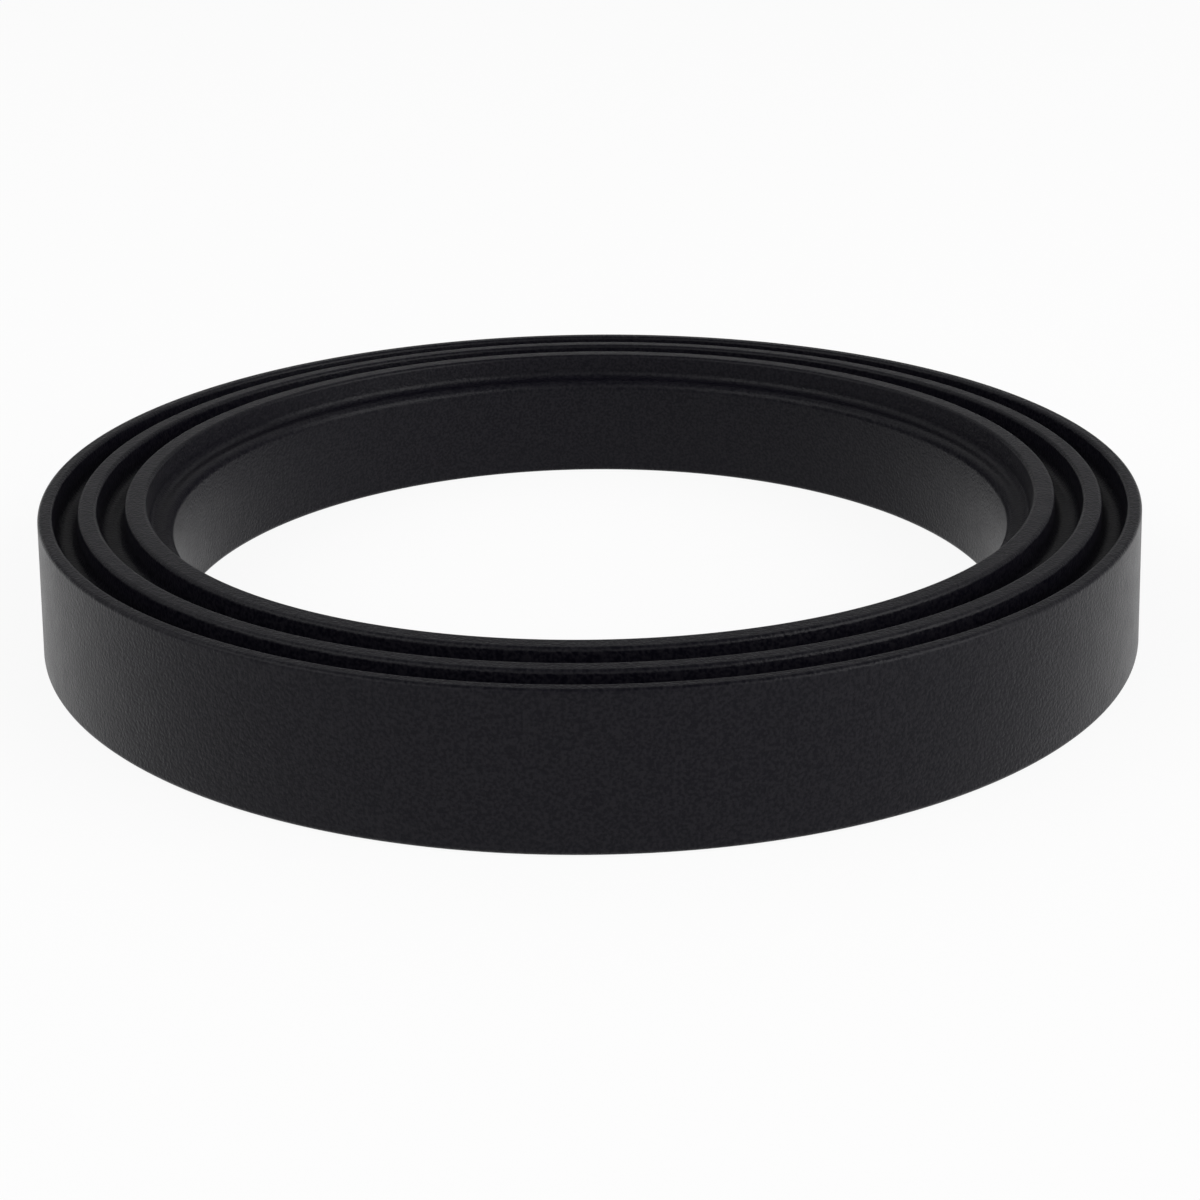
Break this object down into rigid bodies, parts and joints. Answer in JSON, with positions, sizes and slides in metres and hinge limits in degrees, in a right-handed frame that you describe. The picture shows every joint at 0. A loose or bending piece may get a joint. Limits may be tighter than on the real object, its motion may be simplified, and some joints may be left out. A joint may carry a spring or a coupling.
{
  "type": "flush valve seal",
  "caption": "Black moulded rubber ring that seals a toilet cistern's flush valve, with concentric sealing ribs on its top face and a wide plain bore.",
  "frame": {"origin": "centre of the flat underside, on the ring's axis", "axes": "+Z along the ring's axis, from the flat underside up to the ribbed face; the ring is the same all the way round, so +X and +Y are any two radii at a right angle"},
  "size_m": [0.105, 0.105, 0.0134],
  "materials": {
    "black_rubber": "matte to satin moulded black rubber"
  },
  "bodies": {
    "root": {"seal_ring": "black_rubber"}
  },
  "joints": []
}
